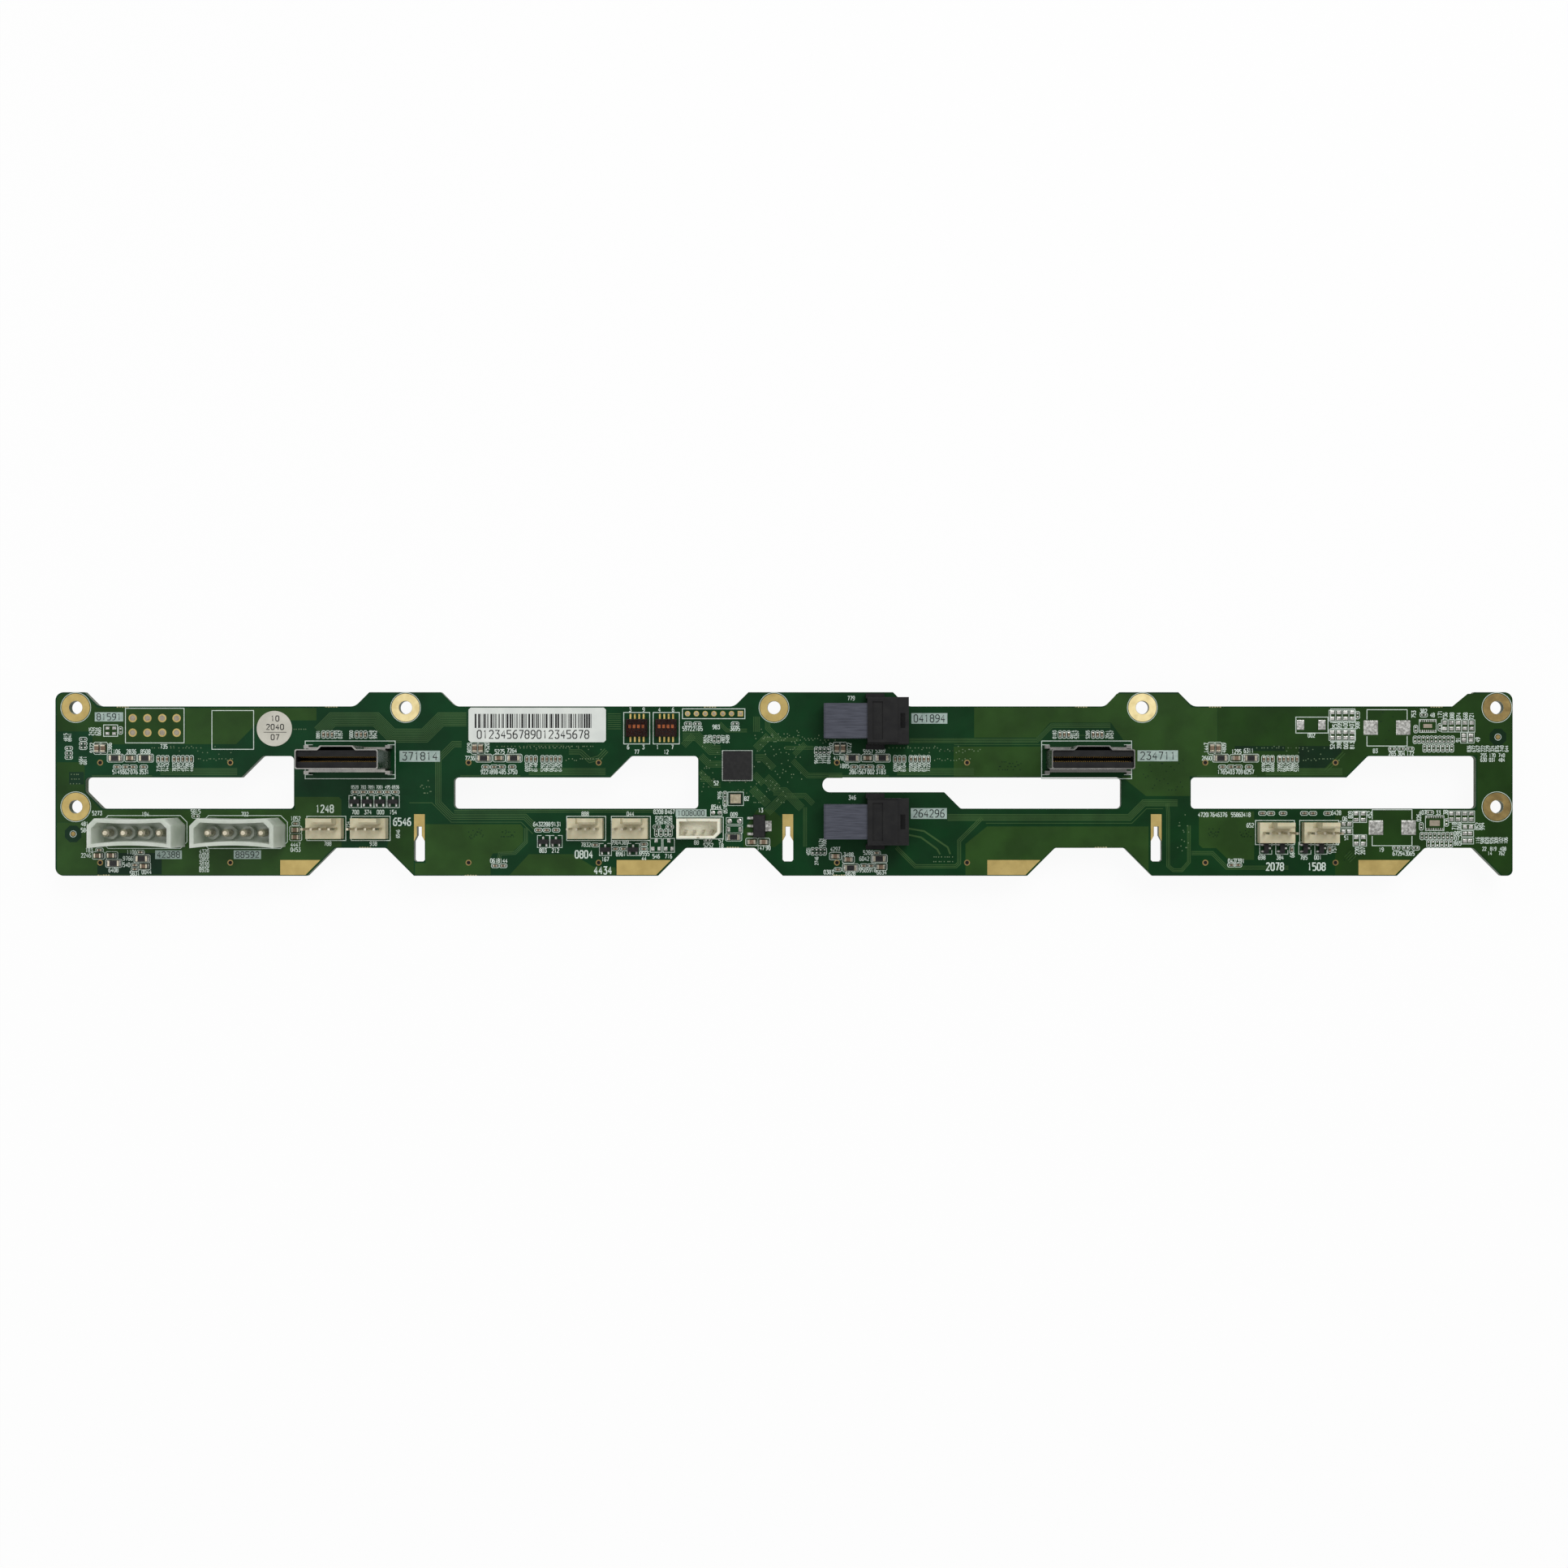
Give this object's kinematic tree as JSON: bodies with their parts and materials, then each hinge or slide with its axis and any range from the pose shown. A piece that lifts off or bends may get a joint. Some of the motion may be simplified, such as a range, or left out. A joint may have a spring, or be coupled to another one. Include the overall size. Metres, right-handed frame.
{
  "type": "drive backplane board",
  "caption": "Long narrow circuit board with drive sockets on one side and power, fan and data connectors on the other, with long air slots.",
  "frame": {"origin": "centre of the board's length and width, on the plane of the drive sockets' faces", "axes": "+X along the board's length, +Y across it towards the screw tabs, +Z away from the drives, out of the cable side"},
  "size_m": [0.421, 0.053, 0.0245],
  "materials": {
    "laminate": "green solder mask over glass-fibre laminate, satin gloss",
    "gold": "bare gold-plated copper, satin",
    "tin": "bright tin, slightly domed where soldered",
    "socket_plastic": "black moulded plastic",
    "natural_nylon": "translucent natural nylon, satin",
    "cream_nylon": "cream moulded nylon",
    "white_nylon": "warm white moulded nylon",
    "port_steel": "bright tinned sheet steel",
    "black_plastic": "black glass-filled plastic, fine grain",
    "wafer_metal": "dark blue-grey plated block, brushed along its length",
    "chip_black": "black moulding compound",
    "slider_white": "white switch sliders",
    "amber_film": "amber sealing film, glossy",
    "ceramic_tan": "brown ceramic",
    "label_paper": "white paper label, satin"
  },
  "bodies": {
    "root": {"board": "laminate", "bus_header_housing": "white_nylon", "bus_header_pins": "tin", "cable_port_1_contacts": "gold", "cable_port_1_insulator": "black_plastic", "cable_port_1_shell": "port_steel", "cable_port_2_contacts": "gold", "cable_port_2_insulator": "black_plastic", "cable_port_2_shell": "port_steel", "capacitors": "ceramic_tan", "controller_chip": "chip_black", "dip_switch_1_base": "chip_black", "dip_switch_1_sliders": "slider_white", "dip_switch_2_base": "chip_black", "dip_switch_2_sliders": "slider_white", "dip_switch_films": "amber_film", "dip_switch_leads": "gold", "drive_socket_1": "socket_plastic", "drive_socket_2": "socket_plastic", "drive_socket_3": "socket_plastic", "drive_socket_4": "socket_plastic", "drive_socket_5": "socket_plastic", "drive_socket_6": "socket_plastic", "drive_socket_7": "socket_plastic", "drive_socket_8": "socket_plastic", "fan_header_1_housing": "cream_nylon", "fan_header_2_housing": "cream_nylon", "fan_header_3_housing": "cream_nylon", "fan_header_4_housing": "cream_nylon", "fan_header_5_housing": "cream_nylon", "fan_header_6_housing": "cream_nylon", "fan_header_pins": "tin", "oscillator_base": "gold", "oscillator_lid": "tin", "paper_labels": "label_paper", "power_header_1_housing": "natural_nylon", "power_header_1_pins": "tin", "power_header_2_housing": "natural_nylon", "power_header_2_pins": "tin", "regulator_body": "chip_black", "regulator_leads": "tin", "resistors": "chip_black", "side_port_1_housing": "black_plastic", "side_port_1_wafer_block": "wafer_metal", "side_port_2_housing": "black_plastic", "side_port_2_wafer_block": "wafer_metal", "small_chip_parts": "chip_black", "transistor_bodies": "chip_black", "transistor_leads": "tin"}
  },
  "joints": []
}
